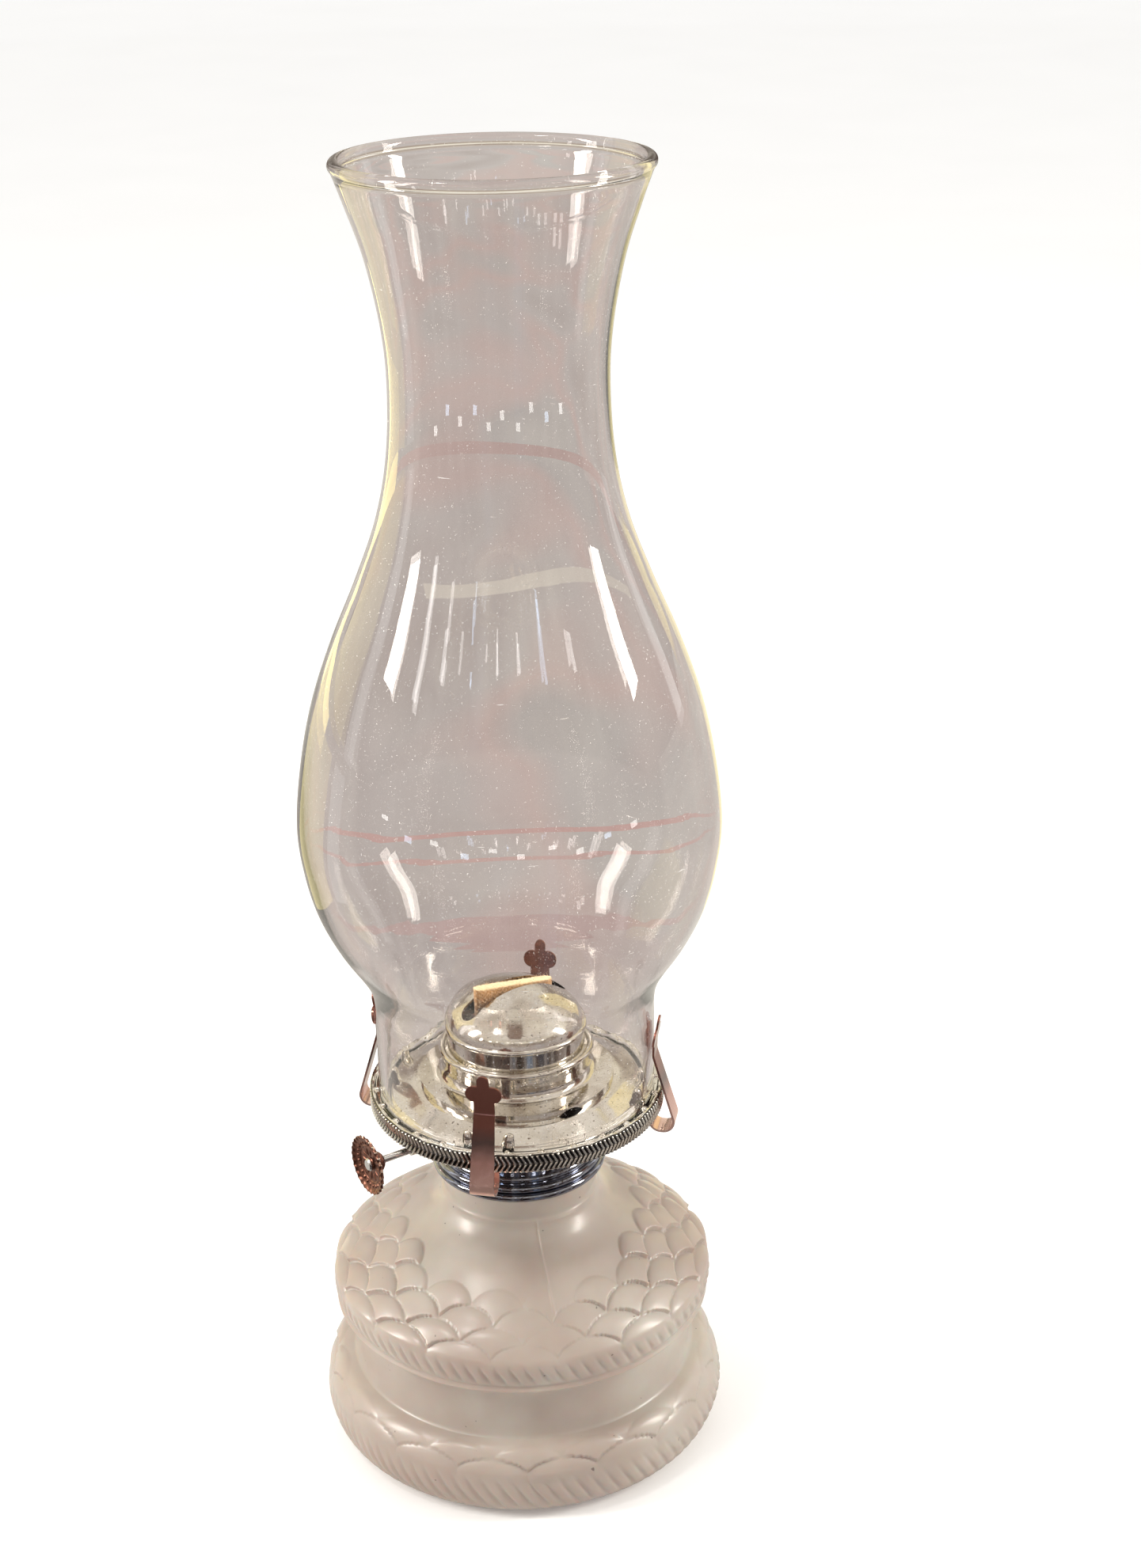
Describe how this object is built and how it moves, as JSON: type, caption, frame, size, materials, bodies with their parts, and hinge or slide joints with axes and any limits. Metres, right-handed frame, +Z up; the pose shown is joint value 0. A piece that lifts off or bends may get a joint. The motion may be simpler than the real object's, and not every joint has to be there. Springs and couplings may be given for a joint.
{
  "type": "oil lamp",
  "caption": "Table oil lamp with a frosted glass base, a screw-in flat-wick burner with a side knob, spring prongs and a tall clear glass chimney.",
  "frame": {"origin": "centre of the foot's resting ring, on the lamp's axis", "axes": "+Z up along the lamp's axis, -X towards the wick knob, the wick's wide side along X, the prongs on the diagonals"},
  "size_m": [0.114, 0.114, 0.356],
  "materials": {
    "frosted_glass": "acid-frosted blown glass",
    "clear_glass": "clear fire-polished glass",
    "chrome": "bright plated",
    "burner_metal": "tarnished nickel-plated brass",
    "steel": "drawn wire",
    "knob_copper": "dark copper-bronze with worn edge",
    "prong_bronze": "polished dark spring bronze",
    "wick_cotton": "woven cotton, oil-stained",
    "cement": "rough plaster"
  },
  "bodies": {
    "base": {"font": "frosted_glass", "collar": "chrome", "collar_cement": "cement"},
    "thread": {"burner_thread_shell": "burner_metal"},
    "burner": {"burner_pan": "burner_metal", "gallery": "burner_metal", "deflector": "burner_metal", "air_diffuser": "burner_metal", "closing_plate": "burner_metal", "vent_tube": "burner_metal", "wick_tube": "burner_metal", "wheel_housing": "burner_metal", "shaft_bush": "burner_metal"},
    "raiser": {"knob_shaft": "steel", "knob": "knob_copper", "knob_hub": "knob_copper", "spur_wheel_1": "steel", "spur_wheel_2": "steel", "spur_wheel_3": "steel", "spur_wheel_4": "steel"},
    "wick": {"wick": "wick_cotton"},
    "prong_1": {"prong_1": "prong_bronze"},
    "prong_2": {"prong_2": "prong_bronze"},
    "prong_3": {"prong_3": "prong_bronze"},
    "prong_4": {"prong_4": "prong_bronze"},
    "chimney": {"chimney": "clear_glass"}
  },
  "joints": [
    {"name": "burner_rise", "type": "slide", "parent": "base", "child": "thread", "axis": [0, 0, 1], "range_m": [0, 0.0064]},
    {"name": "burner_turn", "type": "hinge", "parent": "thread", "child": "burner", "pos_m": [0, 0, 0.0906], "axis": [0, 0, 1], "range_deg": [0, 1080]},
    {"name": "knob_turn", "type": "hinge", "parent": "burner", "child": "raiser", "pos_m": [-0.0495, -0.0054, 0.0992], "axis": [1, 0, 0], "range_deg": [-115, 115]},
    {"name": "wick_rise", "type": "slide", "parent": "burner", "child": "wick", "axis": [0, 0, 1], "range_m": [-0.008, 0.008]},
    {"name": "chimney_lift", "type": "slide", "parent": "burner", "child": "chimney", "axis": [0, 0, 1], "range_m": [0, 0.08]},
    {"name": "prong_1_flex", "type": "hinge", "parent": "burner", "child": "prong_1", "pos_m": [0.02376, 0.02376, 0.1046], "axis": [-0.7071, 0.7071, 0], "range_deg": [0, 5], "stiffness_Nm_per_rad": 1.2},
    {"name": "prong_2_flex", "type": "hinge", "parent": "burner", "child": "prong_2", "pos_m": [-0.02376, 0.02376, 0.1046], "axis": [-0.7071, -0.7071, 0], "range_deg": [0, 5], "stiffness_Nm_per_rad": 1.2},
    {"name": "prong_3_flex", "type": "hinge", "parent": "burner", "child": "prong_3", "pos_m": [-0.02376, -0.02376, 0.1046], "axis": [0.7071, -0.7071, 0], "range_deg": [0, 5], "stiffness_Nm_per_rad": 1.2},
    {"name": "prong_4_flex", "type": "hinge", "parent": "burner", "child": "prong_4", "pos_m": [0.02376, -0.02376, 0.1046], "axis": [0.7071, 0.7071, 0], "range_deg": [0, 5], "stiffness_Nm_per_rad": 1.2}
  ],
  "couplings": [
    {"joint": "burner_rise", "follows": "burner_turn", "m_per_rad": 0.00033423},
    {"joint": "wick_rise", "follows": "knob_turn", "m_per_rad": 0.0039}
  ]
}
